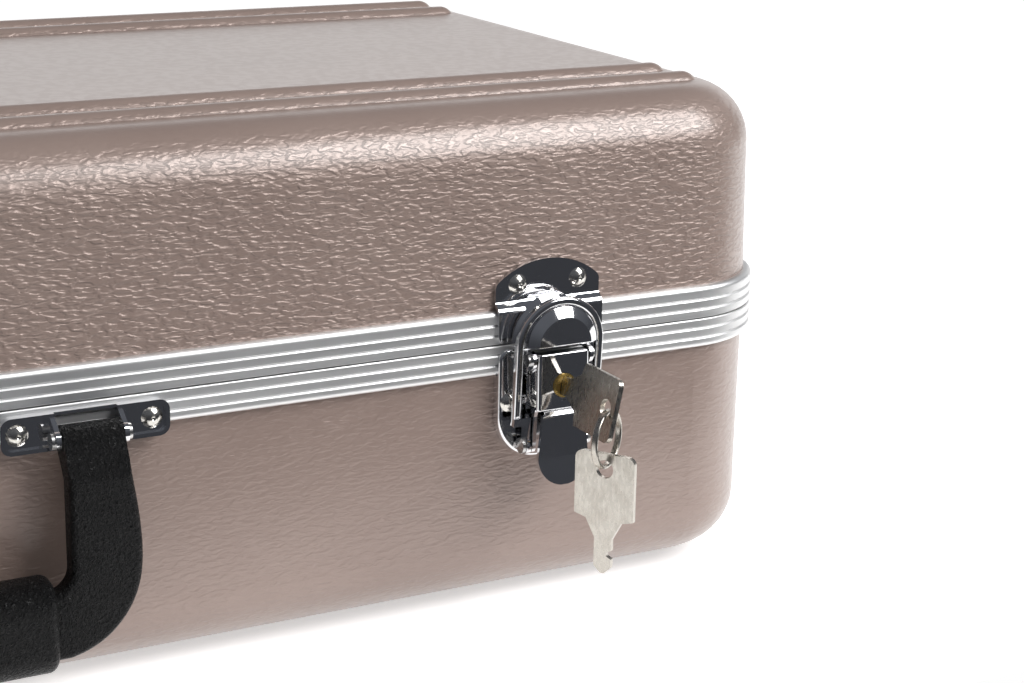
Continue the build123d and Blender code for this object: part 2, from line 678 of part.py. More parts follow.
def finger_tab():
    """Pull tab: a flange behind the lever's face, a joggle outward and a flared, rounded tab."""
    back = LEVER_FACE - LEVER_WALL - TAB_THICK / 2
    front = LEVER_FACE + TAB_PROUD - TAB_THICK / 2
    bend = LEVER_BOTTOM - PLATE_CLEAR
    tip_z = TAB_END_Z - TAB_END_R
    points = [(back, TAB_FLANGE_TOP), (back, bend), (front, bend - (front - back)), (front, TAB_END_Z),
              (front + TAB_FLARE, tip_z)]
    outline = polygon([
        (-TAB_FLANGE_HALF, TAB_FLANGE_TOP), (TAB_FLANGE_HALF, TAB_FLANGE_TOP),
        (TAB_FLANGE_HALF, TAB_TOP + TAB_THICK), (TAB_HALF_WIDTH, TAB_TOP),
        (TAB_END_R, TAB_END_Z), (-TAB_END_R, TAB_END_Z), (-TAB_HALF_WIDTH, TAB_TOP),
        (-TAB_FLANGE_HALF, TAB_TOP + TAB_THICK)])
    outline += Pos(0, TAB_END_Z) * Circle(TAB_END_R)
    strip = bent_sheet(points, TAB_THICK, TAB_BEND, TAB_END_R)
    return strip & front_plate(outline, back - TAB_THICK, front + TAB_FLARE + TAB_THICK)


def eye_span():
    """Inner and outer x of the loop's eyes."""
    inner = LEVER_HALF_WIDTH + SIDE_PLAY
    return inner, inner + EYE_THICK


def loop_pins():
    """Two headed pins fixed in the lever's arms, which the loop's eyes turn on."""
    arm_inner = LEVER_HALF_WIDTH - LEVER_WALL
    eye_outer = eye_span()[1] + PIN_PLAY
    pins = []
    for side in (-1, 1):
        shank = sorted((side * arm_inner, side * eye_outer))
        head = sorted((side * eye_outer, side * (eye_outer + PIN_HEAD)))
        pin = cross_bar(LOOP_PIVOT, LOOP_PIN_R, *shank)
        pins.append(pin + cross_bar(LOOP_PIVOT, LOOP_PIN_HEAD_R, *head))
    return pins


def latch_loop():
    """Arched bar with two legs that step in to the eyes. It is drawn upright on its pivot."""
    inner_r = LOOP_OUTER_R - LOOP_WIDTH
    arch_z = LOOP_RISE + LOOP_WIDTH / 2 - LOOP_OUTER_R
    leg_mid = (arch_z + LOOP_LEG_FOOT) / 2
    leg_height = arch_z - LOOP_LEG_FOOT
    outer = Pos(0, arch_z) * Circle(LOOP_OUTER_R) + Pos(0, leg_mid) * Rectangle(2 * LOOP_OUTER_R, leg_height)
    inner = Pos(0, arch_z) * Circle(inner_r) + Pos(0, leg_mid) * Rectangle(2 * inner_r, leg_height)
    arch = outer - inner
    arch -= Pos(0, LOOP_LEG_FOOT - LOOP_OUTER_R) * Rectangle(4 * LOOP_OUTER_R, 2 * LOOP_OUTER_R)
    half_depth = LOOP_DEPTH / 2
    bar = front_plate(arch, -half_depth, half_depth)
    faces = bar.faces().sort_by(Axis.Y)
    bar = fillet(faces[0].edges() + faces[-1].edges(), LOOP_ROUND)
    eye_in, eye_out = eye_span()
    eye = uz_circle((0, 0), EYE_R) + uz_polygon([
        (-half_depth, 0), (-half_depth, LOOP_LEG_FOOT), (half_depth, LOOP_LEG_FOOT), (half_depth, 0)])
    bar += both_sides(eye, eye_in, eye_out)
    for side in (-1, 1):
        near, far = sorted((side * eye_in, side * LOOP_OUTER_R))
        bar += block(near, far, -half_depth, half_depth, LOOP_LEG_FOOT - LOOP_WIDTH, LOOP_LEG_FOOT)
    bar -= cross_bar((0, 0), LOOP_PIN_R + PIN_PLAY, -eye_out, eye_out)
    u, z = LOOP_PIVOT
    return Pos(0, -u, z) * Rot(LOOP_LEAN, 0, 0) * bar


# ---- lock plug and keys -------------------------------------------------------------------------
def plug():
    """Brass plug with a dished face, a key slot and the cam on its back."""
    body = turned([(0, PLUG_BACK), (PLUG_R, PLUG_BACK), (PLUG_R, PLUG_FACE),
                   (PLUG_R - PLUG_DISH, PLUG_FACE), (PLUG_R / 4, PLUG_FACE - PLUG_DISH),
                   (0, PLUG_FACE - PLUG_DISH)])
    body -= block(-SLOT_WIDTH / 2, SLOT_WIDTH / 2, SLOT_END, PLUG_FACE, -SLOT_HEIGHT / 2, SLOT_HEIGHT / 2)
    body += block(-CAM_WIDTH / 2, CAM_WIDTH / 2, PLUG_BACK - CAM_THICK, PLUG_BACK, -CAM_REACH, CAM_WIDTH / 2)
    return Pos(0, 0, PLUG_Z) * Rot(0, PLUG_TURN, 0) * body


def key_blank():
    """Flat key, tip at the origin, bow up, its width along x."""
    length = BLADE_LENGTH + BOW_LENGTH
    shoulder = BLADE_LENGTH - SHOULDER_LENGTH
    notch = [(half, z) for z, half in CUTS]
    bow = [(BLADE_HALF, shoulder), (SHOULDER_HALF, BLADE_LENGTH - SHOULDER_STEP), (BOW_HALF, BLADE_LENGTH),
           (BOW_HALF, length)]
    left = [(-x, z) for x, z in reversed(bow)]
    point = [(-BLADE_HALF, BLADE_CHAMFER), (-BLADE_POINT, 0), (BLADE_POINT, 0), (BLADE_HALF, BLADE_CHAMFER)]
    outline = polygon(point + notch + bow + left)
    outline = fillet(outline.vertices().group_by(Axis.Y)[-1], BOW_CORNER_R)
    hole = Pos(0, length - KEY_HOLE_MARGIN) * Circle(KEY_HOLE_R)
    return front_plate(outline - hole, -KEY_THICK / 2, KEY_THICK / 2)


def key_hole_u():
    """How far out the inserted key's hole is."""
    return KEY_TIP_U + BLADE_LENGTH + BOW_LENGTH - KEY_HOLE_MARGIN


def inserted_key():
    outward = Plane(origin=(0, -KEY_TIP_U, 0), x_dir=(0, 0, 1), z_dir=(0, -1, 0))
    return Pos(0, 0, PLUG_Z) * Rot(0, PLUG_TURN, 0) * (outward * key_blank())


def ring_centre_z():
    return PLUG_Z - RING_HANG - RING_R


def key_ring():
    wire = Pos(RING_R, 0) * RectangleRounded(RING_WIRE, RING_STACK, RING_ROUND)
    loop = revolve(wire, Axis.Y)
    return Pos(0, -key_hole_u(), ring_centre_z()) * Rot(0, 0, RING_TURN) * loop


def spare_key():
    hole_z = ring_centre_z() - RING_R - RING_HANG
    tip_z = hole_z - (BLADE_LENGTH + BOW_LENGTH - KEY_HOLE_MARGIN)
    return Pos(0, -key_hole_u(), tip_z) * Rot(0, 0, -SPARE_TURN) * key_blank()


# ---- handle -------------------------------------------------------------------------------------
def handle_bracket():
    """Plate with a raised rim, a window for the leg and two ears that hold the pin."""
    height = BRACKET_TOP - BRACKET_BOTTOM
    middle = (BRACKET_TOP + BRACKET_BOTTOM) / 2
    outline = Pos(0, middle) * RectangleRounded(2 * BRACKET_HALF_WIDTH, height, BRACKET_CORNER_R)
    plate = front_plate(outline, 0, SHEET)
    plate += front_plate(outline - offset(outline, -BRACKET_RIM), SHEET, SHEET + BRACKET_RIM)
    inner = LEG_HALF_WIDTH + SIDE_PLAY
    window_top = BRACKET_TOP - BRACKET_RIM
    window_foot = BRACKET_BOTTOM + BRACKET_RIM
    plate -= block(-inner, inner, 0, SHEET + BRACKET_RIM, window_foot, window_top)
    plate -= block(-inner, inner, SHEET, SHEET + BRACKET_RIM, BRACKET_BOTTOM, BRACKET_TOP)
    u, z = HANDLE_PIVOT
    slant = radians(HANDLE_EAR_SLANT)
    tip_u = u + HANDLE_EAR_R * cos(slant)
    tip_z = HANDLE_EAR_R * sin(slant)
    ear = uz_circle(HANDLE_PIVOT, HANDLE_EAR_R) + uz_polygon([
        (0, BRACKET_TOP - BRACKET_RIM), (u / 2, BRACKET_TOP - BRACKET_RIM), (tip_u, z + tip_z),
        (tip_u, z - tip_z), (u / 2, BRACKET_BOTTOM - BRACKET_RIM), (0, BRACKET_BOTTOM - BRACKET_RIM)])
    return plate + both_sides(ear, inner, inner + HANDLE_EAR_THICK)


def handle_pin():
    reach = LEG_HALF_WIDTH + SIDE_PLAY + HANDLE_EAR_THICK
    pin = cross_bar(HANDLE_PIVOT, HANDLE_PIN_R, -reach, reach)
    for side in (-1, 1):
        near, far = sorted((side * reach, side * (reach + PIN_HEAD)))
        pin += cross_bar(HANDLE_PIVOT, HANDLE_PIN_R + TAIL_EXTRA, near, far)
    return pin


def right_leg():
    """Flat leg of the handle, from its eye down to the bar under the grip."""
    top_z = HANDLE_PIVOT[1] + LEG_EYE_R
    inner_x = BRACKET_X - LEG_HALF_WIDTH
    edge = [(BRACKET_X + x, z) for x, z in LEG_OUTLINE]
    round_x = inner_x - LEG_INNER_R
    outline = make_face([
        Line((inner_x, top_z), (BRACKET_X + LEG_HALF_WIDTH, top_z)),
        Line((BRACKET_X + LEG_HALF_WIDTH, top_z), edge[0]),
        Spline(*edge, tangents=LEG_TANGENTS),
        Line(edge[-1], (0, BAR_BOTTOM)),
        Line((0, BAR_BOTTOM), (0, LEG_INNER_FOOT)),
        Line((0, LEG_INNER_FOOT), (round_x, LEG_INNER_FOOT)),
        RadiusArc((round_x, LEG_INNER_FOOT), (inner_x, LEG_INNER_FOOT + LEG_INNER_R), -LEG_INNER_R),
        Line((inner_x, LEG_INNER_FOOT + LEG_INNER_R), (inner_x, top_z))])
    u, z = HANDLE_PIVOT
    below = BAR_BOTTOM - LEG_EYE_R
    bends = [(u + du, z + dz) for du, dz in LEG_PROFILE]
    foot = [(bends[1][0], below), (bends[2][0], below)]
    side = [(u - LEG_EYE_R, z)] + bends[:2] + foot + bends[2:] + [(u, z)]
    profile = uz_circle(HANDLE_PIVOT, LEG_EYE_R) + uz_polygon(side)
    slab = side_plate(profile, 0, BRACKET_X + LEG_HALF_WIDTH + LEG_EYE_R)
    leg = slab & front_plate(outline, 0, HANDLE_PIVOT[0] + bends[2][0])
    front = leg.faces().sort_by(Axis.Y)[0]
    return fillet(front.edges(), LEG_EDGE)


def handle():
    leg = right_leg()
    body = leg + mirror(leg, Plane.YZ)
    middle_u = HANDLE_PIVOT[0] + (LEG_PROFILE[1][0] + LEG_PROFILE[2][0]) / 2
    height = GRIP_TOP - GRIP_BOTTOM
    grip = Pos(0, -middle_u, (GRIP_TOP + GRIP_BOTTOM) / 2) * Box(2 * GRIP_HALF_LENGTH, GRIP_THICK, height)
    grip = fillet(grip.edges().filter_by(Axis.X), GRIP_ROUND)
    ends = grip.faces().filter_by(Axis.X)
    grip = fillet(ends[0].edges() + ends[1].edges(), GRIP_END_ROUND)
    body += grip
    reach = LEG_HALF_WIDTH + SIDE_PLAY
    for x in (-BRACKET_X, BRACKET_X):
        body -= cross_bar(HANDLE_PIVOT, HANDLE_PIN_R + PIN_PLAY, x - reach, x + reach)
    return body


# ---- hinges and feet ----------------------------------------------------------------------------
def hinge_leaf(middle):
    """Leaf drawn above the parting line, with the middle knuckle or the two outer ones."""
    width = HINGE_HALF_WIDTH
    leaf = block(-width, width, 0, SHEET, LEAF_EDGE, LEAF_TOP)
    knuckle = uz_circle((HINGE_AXIS, 0), KNUCKLE_R) + uz_polygon([
        (0, LEAF_EDGE + SHEET), (SHEET, LEAF_EDGE + SHEET), (HINGE_AXIS - KNUCKLE_R / 2, 0),
        (HINGE_AXIS - KNUCKLE_R, 0)])
    if middle:
        leaf += side_plate(knuckle, -MIDDLE_KNUCKLE, MIDDLE_KNUCKLE)
    else:
        leaf += both_sides(knuckle, MIDDLE_KNUCKLE + KNUCKLE_PLAY, width)
    return leaf - cross_bar((HINGE_AXIS, 0), HINGE_PIN_R + (PIN_PLAY if middle else 0), -width, width)


def hinge_pin():
    pin = cross_bar((HINGE_AXIS, 0), HINGE_PIN_R, -HINGE_HALF_WIDTH, HINGE_HALF_WIDTH)
    for side in (-1, 1):
        near, far = sorted((side * HINGE_HALF_WIDTH, side * (HINGE_HALF_WIDTH + PIN_HEAD)))
        pin += cross_bar((HINGE_AXIS, 0), KNUCKLE_R - PIN_PLAY, near, far)
    return pin


def foot():
    """Domed rubber foot that stands out from the back wall."""
    seat = -EDGING_PROUD - WALL / 2
    top = FOOT_HEIGHT - EDGING_PROUD
    body = turned([(0, seat), (FOOT_R, seat), (FOOT_R, FOOT_SIDE), (FOOT_TOP_R, top), (0, top)])
    return fillet(body.edges().sort_by(Axis.Y)[0:2], FOOT_ROUND)


# ---- fasteners ----------------------------------------------------------------------------------
def latch_places():
    return [at_front(-LATCH_X), at_front(LATCH_X)]


def bracket_places():
    return [at_front(-BRACKET_X), at_front(BRACKET_X)]


def hinge_places():
    return [at_back(-HINGE_X), at_back(HINGE_X)]


def rivets_at(places, x, z, seat_u, kind, inner_u):
    """Mirrored pairs of rivets: heads seated at seat_u, tails inside the wall at inner_u."""
    one = rivet(kind, seat_u + inner_u + TAIL_CLEAR)
    if kind is LARGE_RIVET:
        one = dimpled(one, kind[1])
    return [place * Pos(side * x, -seat_u, z) * one for place in places for side in (-1, 1)]


def build():
    """Every node, by name."""
    lid_wall_in = SHELL_INNER + STRIKE_RIVET[1] * tan(radians(LID_DRAFT))
    base_wall_in = SHELL_INNER - PLATE_RIVET[1] * tan(radians(BASE_DRAFT))
    strike_seat = PLATE_CLEAR - EDGING_PROUD + SHEET
    strike_rivets = rivets_at(latch_places(), *STRIKE_RIVET, strike_seat, LARGE_RIVET, lid_wall_in)
    plate_rivets = rivets_at(latch_places(), *PLATE_RIVET, SHEET, LARGE_RIVET, base_wall_in)
    bracket_rivets = rivets_at(bracket_places(), *BRACKET_RIVET, SHEET, LARGE_RIVET, EDGING_INNER)
    leaf_kind = (SHEET, SMALL_RIVET, EDGING_INNER)
    lid_leaf_rivets = rivets_at(hinge_places(), LEAF_RIVET_X, LEAF_RIVET_Z, *leaf_kind)
    base_leaf_rivets = rivets_at(hinge_places(), LEAF_RIVET_X, -LEAF_RIVET_Z, *leaf_kind)
    back = [at_back(0)]
    joiner_x = JOINER_LENGTH / 4
    lid_joiner_rivets = rivets_at(back, joiner_x, LEAF_RIVET_Z, JOINER_THICK, SMALL_RIVET, EDGING_INNER)
    base_joiner_rivets = rivets_at(back, joiner_x, -LEAF_RIVET_Z, JOINER_THICK, SMALL_RIVET, EDGING_INNER)
    lid_fixings = strike_rivets + lid_leaf_rivets + lid_joiner_rivets
    base_fixings = plate_rivets + bracket_rivets + base_leaf_rivets + base_joiner_rivets

    lid_shell = lid_up(shell(LID_FLAT, LID_DRAFT, beads(0), beads(WALL)))
    base_shell = base_down(shell(BASE_FLAT, BASE_DRAFT, panel(0, PANEL_ROUND), panel(WALL, HOLLOW_ROUND)))
    lid_feet = [at_back(x) * Pos(0, 0, FOOT_Z) * foot() - lid_shell for x in (-FOOT_X, FOOT_X)]
    base_feet = [at_back(x) * Pos(0, 0, -FOOT_Z) * foot() - base_shell for x in (-FOOT_X, FOOT_X)]
    lid_feet = [piece.solids().sort_by(Axis.Y)[-1] for piece in lid_feet]
    base_feet = [piece.solids().sort_by(Axis.Y)[-1] for piece in base_feet]

    nodes = {
        "lid_shell": cut(lid_shell, lid_fixings),
        "lid_edging": cut(lid_edging(), lid_fixings),
        "lid_edging_joiner": cut(back[0] * joiner(LID_EDGING), lid_joiner_rivets),
        "lid_pad": lid_pad(),
        "lid_feet": group(lid_feet),
        "strike_rivets": group(strike_rivets),
        "lid_hinge_rivets": group(lid_leaf_rivets),
        "lid_joiner_rivets": group(lid_joiner_rivets),
        "base_shell": cut(base_shell, base_fixings),
        "base_edging": cut(base_edging(), base_fixings),
        "base_edging_joiner": cut(back[0] * mirror(joiner(BASE_EDGING), Plane.XY), base_joiner_rivets),
        "trumpet_insert": trumpet_insert(),
        "tray_insert": tray_insert(),
        "base_feet": group(base_feet),
        "latch_plate_rivets": group(plate_rivets),
        "handle_rivets": group(bracket_rivets),
        "base_hinge_rivets": group(base_leaf_rivets),
        "base_joiner_rivets": group(base_joiner_rivets),
        "handle": at_front(0) * handle(),
    }
    for side, x in (("left", -LATCH_X), ("right", LATCH_X)):
        place = at_front(x)
        nodes[f"strike_plate_{side}"] = cut(place * strike_plate(), strike_rivets)
        nodes[f"latch_plate_{side}"] = cut(place * latch_plate(), plate_rivets) - place * lever_pin()
        nodes[f"lever_pin_{side}"] = place * lever_pin()
        nodes[f"lever_{side}"] = place * lever()
        nodes[f"finger_tab_{side}"] = place * finger_tab()
        nodes[f"lock_barrel_{side}"] = place * lock_barrel()
        nodes[f"loop_pins_{side}"] = group([place * pin for pin in loop_pins()])
        nodes[f"latch_loop_{side}"] = place * latch_loop()
        nodes[f"lock_plug_{side}"] = place * plug()
    nodes["key"] = at_front(LATCH_X) * inserted_key()
    nodes["key_ring"] = at_front(LATCH_X) * key_ring()
    nodes["spare_key"] = at_front(LATCH_X) * spare_key()
    for side, x in (("left", -BRACKET_X), ("right", BRACKET_X)):
        place = at_front(x)
        pin = place * handle_pin()
        nodes[f"handle_bracket_{side}"] = cut(place * handle_bracket(), bracket_rivets) - pin
        nodes[f"handle_pin_{side}"] = pin
    for side, x in (("left", -HINGE_X), ("right", HINGE_X)):
        place = at_back(x)
        base_leaf = mirror(hinge_leaf(False), Plane.XY)
        nodes[f"lid_hinge_leaf_{side}"] = cut(place * hinge_leaf(True), lid_leaf_rivets)
        nodes[f"base_hinge_leaf_{side}"] = cut(place * base_leaf, base_leaf_rivets)
        nodes[f"hinge_pin_{side}"] = place * hinge_pin()
    return nodes


for name, solid in build().items():
    export_step(solid, f"parts/{name}.step")
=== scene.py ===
"""Looks of a hard trumpet case, built over its fixed CAD frame. Metres, +Z up, -Y towards the latches."""

import bmesh
import bpy
from mathutils import Matrix, Vector


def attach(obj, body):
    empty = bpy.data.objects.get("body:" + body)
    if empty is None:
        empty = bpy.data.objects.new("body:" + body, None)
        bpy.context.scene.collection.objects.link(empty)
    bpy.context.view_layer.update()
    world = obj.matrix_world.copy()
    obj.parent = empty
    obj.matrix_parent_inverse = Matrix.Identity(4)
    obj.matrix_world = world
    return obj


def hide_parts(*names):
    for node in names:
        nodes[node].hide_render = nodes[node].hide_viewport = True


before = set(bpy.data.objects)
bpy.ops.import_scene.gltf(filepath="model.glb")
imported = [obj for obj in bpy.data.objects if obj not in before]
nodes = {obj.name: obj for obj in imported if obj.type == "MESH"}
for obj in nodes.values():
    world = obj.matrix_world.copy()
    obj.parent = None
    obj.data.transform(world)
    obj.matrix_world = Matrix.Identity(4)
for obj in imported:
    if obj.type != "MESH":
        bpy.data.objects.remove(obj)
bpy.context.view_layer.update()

# ---- case halves ---------------------------------------------------------------------------------
# The two halves are vacuum-formed from one sheet of plastic with a rose-bronze metallic film, pressed
# with a fine leather grain. Forming has drawn the grain out along the sides, softened it on the deeper
# base and almost flattened it on top. Inside, a thin black plush is glued to the bare plastic.
PARTING = 0.0838
CASE_MIDDLE = (0.0, 0.0, 0.0773)
LID_FLAT_TOP = 0.1522
BRONZE = (0.345, 0.257, 0.222)
BRONZE_CLOUD_AND_VALLEY_SHADE = (0.290, 0.208, 0.178)
PLUSH_DARK = (0.006, 0.006, 0.007)
GRAIN_PER_METRE = 820.0
GRAIN_STRETCH = 0.36
GRAIN_DEPTH = 0.00030
TOP_GRAIN = 0.02
METAL_SHARE = 0.20
PLUSH_ROUGH = 0.95
FINE_PER_METRE = 1500.0
NAP_PER_METRE = 2600.0
CLOUDS_PER_METRE = 16.0
COAT_SHARE = 0.8
LID_RELIEF = 1.0
BASE_RELIEF = 0.35


class Wire:
    """A socket of a finish; sums and products of wires add Math nodes."""

    def __init__(self, finish, socket):
        self.finish = finish
        self.socket = socket

    def math(self, operation, *others):
        values = dict(enumerate((self, *others)))
        return self.finish.node("ShaderNodeMath", {"operation": operation}, values)

    def __add__(self, other):
        return self.math("ADD", other)

    def __sub__(self, other):
        return self.math("SUBTRACT", other)

    def __rsub__(self, other):
        return self * -1.0 + other

    def __mul__(self, other):
        return self.math("MULTIPLY", other)

    __radd__ = __add__
    __rmul__ = __mul__


class Finish:
    """The nodes of a material, or of the room, round its one shader."""

    def __init__(self, owner, shader="Principled BSDF", **constants):
        owner.use_nodes = True
        self.owner = owner
        self.tree = owner.node_tree
        self.shader = self.tree.nodes[shader]
        for socket, value in constants.items():
            self.shader.inputs[socket.replace("_", " ")].default_value = value

    def node(self, kind, settings, values, out=0):
        made = self.tree.nodes.new(kind)
        for name, value in settings.items():
            setattr(made, name, value)
        for name, value in values.items():
            self.fill(made.inputs[name], value)
        return Wire(self, made.outputs[out])

    def fill(self, socket, value):
        if isinstance(value, Wire):
            self.tree.links.new(value.socket, socket)
        elif socket.type == "RGBA":
            socket.default_value = (*value, 1.0)
        else:
            socket.default_value = value

    def place(self, stretch=(1.0, 1.0, 1.0), centre=(0.0, 0.0, 0.0)):
        """Object coordinates from a centre, stretched."""
        here = self.node("ShaderNodeTexCoord", {}, {}, "Object")
        moved = self.node("ShaderNodeVectorMath", {"operation": "SUBTRACT"}, {0: here, 1: centre})
        return self.node("ShaderNodeMapping", {}, {"Vector": moved, "Scale": stretch})

    def noise(self, scale, where, detail=2.0, rough=0.5, distortion=0.0):
        values = {"Vector": where, "Scale": scale, "Detail": detail}
        values |= {"Roughness": rough, "Distortion": distortion}
        return self.node("ShaderNodeTexNoise", {}, values)

    def range(self, value, low, high, to_low=0.0, to_high=1.0):
        values = {"Value": value, "From Min": low, "From Max": high, "To Min": to_low, "To Max": to_high}
        return self.node("ShaderNodeMapRange", {"interpolation_type": "SMOOTHSTEP"}, values)

    def mix(self, share, one, other):
        return self.node("ShaderNodeMix", {"data_type": "RGBA"}, {0: share, 6: one, 7: other}, 2)

    def split(self, vector):
        outputs = self.node("ShaderNodeSeparateXYZ", {}, {"Vector": vector}).socket.node.outputs
        return [Wire(self, socket) for socket in outputs]

    def bump(self, height, distance):
        self.set("Normal", self.node("ShaderNodeBump", {}, {"Height": height, "Distance": distance}))

    def set(self, socket, value):
        self.fill(self.shader.inputs[socket], value)

    def paint(self, *names):
        for name in names:
            slots = nodes[name].data.materials
            slots.clear()
            slots.append(self.owner)


def material(name, **constants):
    return Finish(bpy.data.materials.new(name), **constants)


def bronze_film(name, relief):
    """Bronze outside and plush inside, with the grain's relief as a share of the full one."""
    film = material(name, Coat_Roughness=0.30, Coat_IOR=1.6)
    facing = film.node("ShaderNodeTexCoord", {}, {}, "Normal")
    position = film.place(centre=CASE_MIDDLE)
    dot = {"operation": "DOT_PRODUCT"}
    outward = film.node("ShaderNodeVectorMath", dot, {0: position, 1: facing}, "Value")
    below_top = film.split(film.place())[2].math("LESS_THAN", LID_FLAT_TOP)
    inside = outward.math("LESS_THAN", 0.0) * below_top
    outside = 1.0 - inside
    level = film.range(film.split(facing)[2].math("ABSOLUTE"), 0.55, 0.95)
    drawn = film.place(stretch=(GRAIN_STRETCH, GRAIN_STRETCH, 1.0))
    folds = film.noise(GRAIN_PER_METRE, drawn, detail=1.2, rough=0.45, distortion=0.4)
    ridges = film.range(folds, 0.35, 0.65)
    fine = film.noise(FINE_PER_METRE, film.place(stretch=(0.4, 0.6, 1.0)), detail=1.0)
    side_grain = ridges * relief + fine * 0.35
    grain = side_grain * (1.0 - level) + fine * level * TOP_GRAIN
    nap = film.noise(NAP_PER_METRE, film.place(), detail=1.0)
    film.bump(grain * outside + nap * inside * 2.0, GRAIN_DEPTH)
    cloud = film.range(film.noise(CLOUDS_PER_METRE, film.place(), detail=3.0), 0.35, 0.65)
    # The bronze is darker at random in clouds, a real tone. It is also painted lighter on the ridges of
    # the grain and darker between them, more so where the relief is greater: a painted highlight where
    # the ridges catch the softbox, and painted shade in the valleys.
    bronze = film.mix(cloud * 0.35 + ridges * relief * -0.2 + 0.2, BRONZE, BRONZE_CLOUD_AND_VALLEY_SHADE)
    film.set("Base Color", film.mix(inside, bronze, PLUSH_DARK))
    film.set("Metallic", outside * METAL_SHARE)
    film.set("Coat Weight", outside * COAT_SHARE)
    film.set("Roughness", film.range(ridges, 0.0, 1.0, 0.40, 0.33) * outside + inside * PLUSH_ROUGH)
    return film


bronze_film("bronze_film_lid", LID_RELIEF).paint("lid_shell")
bronze_film("bronze_film_base", BASE_RELIEF).paint("base_shell")

# ---- edging --------------------------------------------------------------------------------------
# Each rim wears a band of extruded aluminium, fluted along the parting line, bent round the four
# corners and riveted on, with a plate over its joint at the back. It is brushed along its length.
ALUMINIUM = (0.880, 0.878, 0.875)
ALUMINIUM_DULL = (0.800, 0.797, 0.793)
STREAKS_PER_METRE = 700.0
SMEARS_PER_METRE = 26.0
BRUSH_DEPTH = 0.00002
edging = material("brushed_edging", Metallic=1.0)
streaks = edging.noise(STREAKS_PER_METRE, edging.place(stretch=(0.02, 0.02, 1.0)), detail=3.0, rough=0.6)
smears = edging.noise(SMEARS_PER_METRE, edging.place(stretch=(0.4, 0.4, 1.0)), detail=3.0)
edging.set("Base Color", edging.mix(edging.range(smears, 0.35, 0.75) * 0.45, ALUMINIUM, ALUMINIUM_DULL))
edging.set("Roughness", edging.range(streaks * 0.6 + smears * 0.4, 0.3, 0.7, 0.42, 0.50))
edging.bump(streaks, BRUSH_DEPTH)
edging.paint("lid_edging", "base_edging", "lid_edging_joiner", "base_edging_joiner")

# ---- latches, brackets and hinges ----------------------------------------------------------------
# The latch plates, levers, loops and handle brackets are pressed from steel sheet, polished and
# chromed, with a few hairlines from use; the pins and hinges are the same steel, satin plated.
CHROME = (0.800, 0.800, 0.810)
SATIN = (0.600, 0.595, 0.585)
SATIN_ROLLED = (0.460, 0.455, 0.445)
SIDES = ("left", "right")
HAIRLINES_PER_METRE = 900.0
FINGERPRINTS_PER_METRE = 90.0
CHROME_DEPTH = 0.00005
ROLLED_PER_METRE = 800.0
ROLLED_DEPTH = 0.00002


def on_both_sides(*names):
    return [f"{name}_{side}" for name in names for side in SIDES]


chrome = material("chromed_steel", Metallic=1.0)
hairlines = chrome.noise(HAIRLINES_PER_METRE, chrome.place(stretch=(0.06, 0.06, 1.0)))
fingerprints = chrome.noise(FINGERPRINTS_PER_METRE, chrome.place(), detail=3.0)
dull = chrome.range(fingerprints, 0.45, 0.75)
chrome.set("Base Color", chrome.mix(dull * 0.25, CHROME, SATIN))
chrome.set("Roughness", dull * 0.05 + chrome.range(hairlines, 0.55, 0.8) * 0.04 + 0.06)
chrome.bump(fingerprints * 0.8 + hairlines * 0.2, CHROME_DEPTH)
chrome.paint(*on_both_sides("strike_plate", "latch_plate", "lever", "finger_tab", "lock_barrel"))
chrome.paint(*on_both_sides("latch_loop", "handle_bracket"))

satin = material("satin_steel", Metallic=1.0)
rolled = satin.noise(ROLLED_PER_METRE, satin.place(stretch=(0.05, 0.05, 1.0)))
satin.set("Base Color", satin.mix(satin.range(rolled, 0.3, 0.7) * 0.5, SATIN, SATIN_ROLLED))
satin.set("Roughness", satin.range(rolled, 0.3, 0.7, 0.22, 0.34))
satin.bump(rolled, ROLLED_DEPTH)
satin.paint(*on_both_sides("lever_pin", "loop_pins", "handle_pin"))
satin.paint(*on_both_sides("lid_hinge_leaf", "base_hinge_leaf", "hinge_pin"))

# ---- rivets --------------------------------------------------------------------------------------
# Everything is fixed through the shell with semi-tubular rivets of nickel-plated steel, whose domes
# keep the fine scuffs of the setting tool.
NICKEL = (0.700, 0.675, 0.630)
NICKEL_SCUFFED = (0.520, 0.500, 0.460)
SCUFFS_PER_METRE = 1500.0
SCUFF_DEPTH = 0.00003
nickel = material("nickel_plate", Metallic=1.0)
scuffs = nickel.noise(SCUFFS_PER_METRE, nickel.place())
nickel.set("Base Color", nickel.mix(nickel.range(scuffs, 0.4, 0.7) * 0.4, NICKEL, NICKEL_SCUFFED))
nickel.set("Roughness", nickel.range(scuffs, 0.3, 0.7, 0.12, 0.24))
nickel.bump(scuffs, SCUFF_DEPTH)
nickel.paint("strike_rivets", "lid_hinge_rivets", "lid_joiner_rivets", "latch_plate_rivets")
nickel.paint("handle_rivets", "base_hinge_rivets", "base_joiner_rivets")

# ---- locks ---------------------------------------------------------------------------------------
# The plug of each lock is turned from brass bar, with fine rings from the tool across its face.
BRASS = (0.850, 0.600, 0.200)
BRASS_TARNISHED = (0.600, 0.390, 0.120)
LOCK_X = 0.198
LOCK_BELOW_PARTING = 0.0114
LOCK_Z = PARTING - LOCK_BELOW_PARTING
TARNISH_PER_METRE = 500.0
RING_DEPTH = 0.00001
RINGS_PER_METRE = 4100.0
for side, x in zip(SIDES, (-LOCK_X, LOCK_X)):
    brass = material(f"turned_brass_{side}", Metallic=1.0)
    across = brass.place(centre=(x, 0.0, LOCK_Z), stretch=(1.0, 0.0, 1.0))
    radius = brass.node("ShaderNodeVectorMath", {"operation": "LENGTH"}, {0: across}, "Value")
    tarnish = brass.range(brass.noise(TARNISH_PER_METRE, across, detail=3.0), 0.35, 0.7)
    brass.set("Base Color", brass.mix(tarnish * 0.5, BRASS, BRASS_TARNISHED))
    brass.set("Roughness", tarnish * 0.10 + 0.26)
    brass.bump((radius * RINGS_PER_METRE).math("PINGPONG", 0.5), RING_DEPTH)
    brass.paint(f"lock_plug_{side}")

